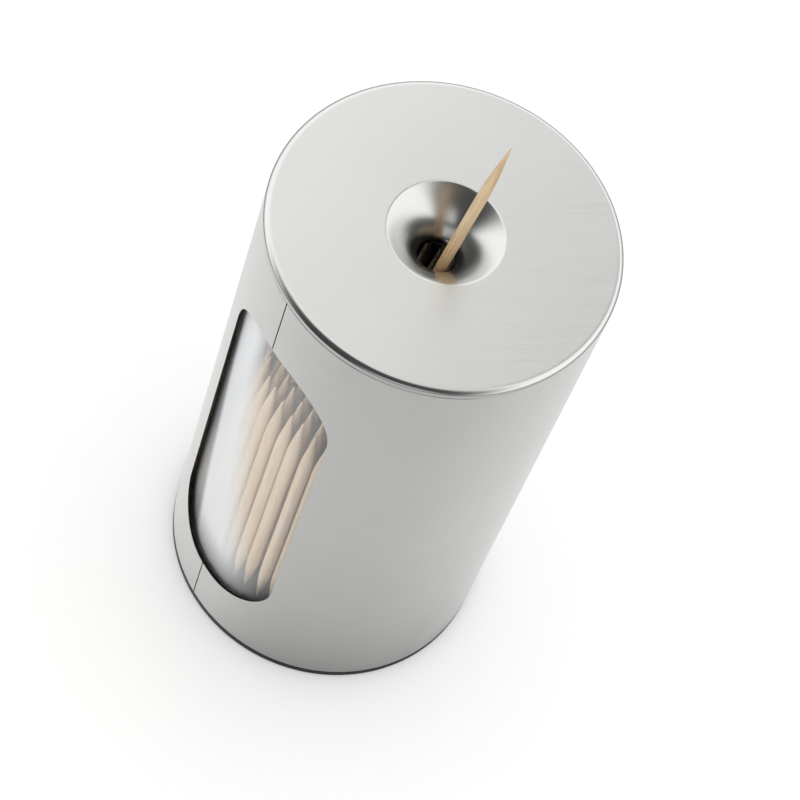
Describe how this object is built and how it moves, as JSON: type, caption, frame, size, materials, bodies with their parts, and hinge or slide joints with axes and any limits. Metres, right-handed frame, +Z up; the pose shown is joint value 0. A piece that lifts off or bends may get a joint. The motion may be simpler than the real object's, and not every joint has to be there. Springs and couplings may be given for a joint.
{
  "type": "toothpick dispenser",
  "caption": "Standing toothpick dispenser: a lift-out clear tube of picks with a dished steel cap, inside a brushed steel sleeve with a window.",
  "frame": {"origin": "centre of the underside of the foot pad, where the dispenser stands on the table", "axes": "+Z up along the sleeve's axis, -Y out of the sleeve's window, +X to the right as one looks at the window"},
  "size_m": [0.061, 0.061, 0.1431],
  "materials": {
    "sleeve_steel": "fine satin brush round the sleeve",
    "cap_steel": "straight satin brush on the flat, polished in the dish",
    "black_moulding": "fine matt moulding",
    "grey_moulding": "fine matt moulding",
    "foot_rubber": "matt rubber",
    "ballast_iron": "plain",
    "clear_acrylic": "clear, polished",
    "pick_wood": "smooth pale bamboo"
  },
  "bodies": {
    "sleeve_and_base": {"outer_sleeve": "sleeve_steel", "base_plug": "black_moulding", "foot_pad": "foot_rubber", "ballast_disc": "ballast_iron", "seat_ring": "grey_moulding", "lower_glide_ring": "black_moulding", "upper_glide_ring": "black_moulding"},
    "container": {"clear_tube": "clear_acrylic", "tube_floor": "clear_acrylic", "pick_ring_1": "pick_wood", "pick_ring_2": "pick_wood", "pick_ring_3": "pick_wood", "pick_ring_4": "pick_wood", "pick_ring_5": "pick_wood", "pick_ring_6": "pick_wood", "pick_ring_7": "pick_wood", "pick_ring_8": "pick_wood", "pick_ring_9": "pick_wood", "pick_centre": "pick_wood"},
    "cap": {"cap_disc": "cap_steel", "cap_insert": "black_moulding", "cap_grip_ring": "foot_rubber", "guide_cone": "black_moulding"},
    "drawn_pick": {"dispensed_pick": "pick_wood"}
  },
  "joints": [
    {"name": "container_lift", "type": "slide", "parent": "sleeve_and_base", "child": "container", "axis": [0, 0, 1], "range_m": [0, 0.11]},
    {"name": "cap_lift", "type": "slide", "parent": "container", "child": "cap", "axis": [0, 0, 1], "range_m": [0, 0.03]},
    {"name": "pick_draw", "type": "slide", "parent": "cap", "child": "drawn_pick", "axis": [0.0392, 0.0969, 0.9945], "range_m": [0, 0.045]}
  ]
}
